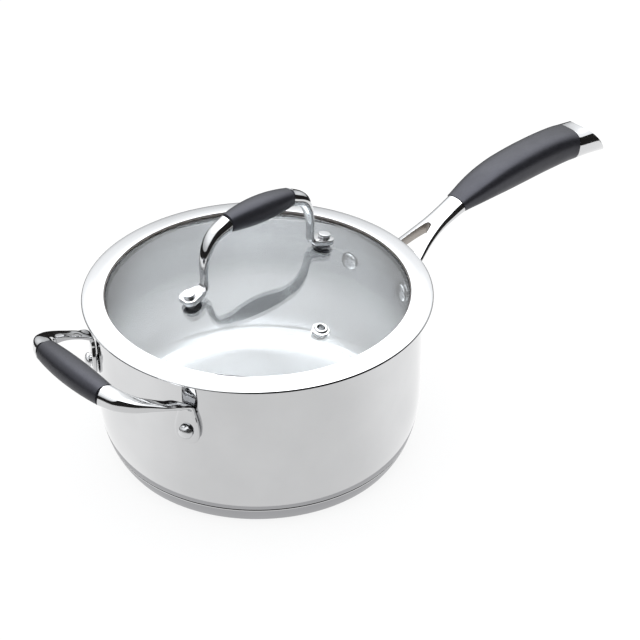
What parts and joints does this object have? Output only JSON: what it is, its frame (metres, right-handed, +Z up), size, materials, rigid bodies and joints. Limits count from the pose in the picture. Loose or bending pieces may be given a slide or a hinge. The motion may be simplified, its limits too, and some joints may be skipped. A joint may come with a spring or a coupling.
{
  "type": "saucepan with glass lid",
  "caption": "Stainless saucepan with one long forked handle, a helper handle, silicone grips and a lift-off domed glass lid with a steam vent.",
  "frame": {"origin": "centre of the flat underside of the base, where the pan stands", "axes": "+Z up through the middle of the lid; +X along the long handle, away from the pan; the helper handle is on -X"},
  "size_m": [0.4467, 0.214, 0.17],
  "materials": {
    "polished_steel": "mirror polished stainless steel",
    "satin_steel": "satin stainless steel",
    "aluminium_core": "bonded core, hidden",
    "grey_silicone": "soft matte silicone",
    "black_silicone": "matte silicone",
    "clear_glass": "clear tempered glass"
  },
  "bodies": {
    "pan": {"pan_shell": "polished_steel", "base_core": "aluminium_core", "base_cap": "polished_steel", "handle_stem": "polished_steel", "handle_grip": "grey_silicone", "handle_end_cap": "polished_steel", "helper_handle": "polished_steel", "helper_grip": "grey_silicone", "handle_rivet_left": "satin_steel", "handle_rivet_right": "satin_steel", "helper_rivet_left": "satin_steel", "helper_rivet_right": "satin_steel"},
    "lid": {"lid_glass": "clear_glass", "lid_rim": "polished_steel", "lid_gasket": "black_silicone", "lid_handle": "polished_steel", "lid_grip": "grey_silicone", "vent_eyelet": "polished_steel", "vent_collar": "satin_steel", "lid_rivet_left": "satin_steel", "lid_foot_pad_left": "black_silicone", "lid_seal_left": "black_silicone", "lid_washer_left": "satin_steel", "lid_rivet_right": "satin_steel", "lid_foot_pad_right": "black_silicone", "lid_seal_right": "black_silicone", "lid_washer_right": "satin_steel"}
  },
  "joints": [
    {"name": "lid_lift", "type": "slide", "parent": "pan", "child": "lid", "axis": [0, 0, 1], "range_m": [0, 0.12]}
  ]
}
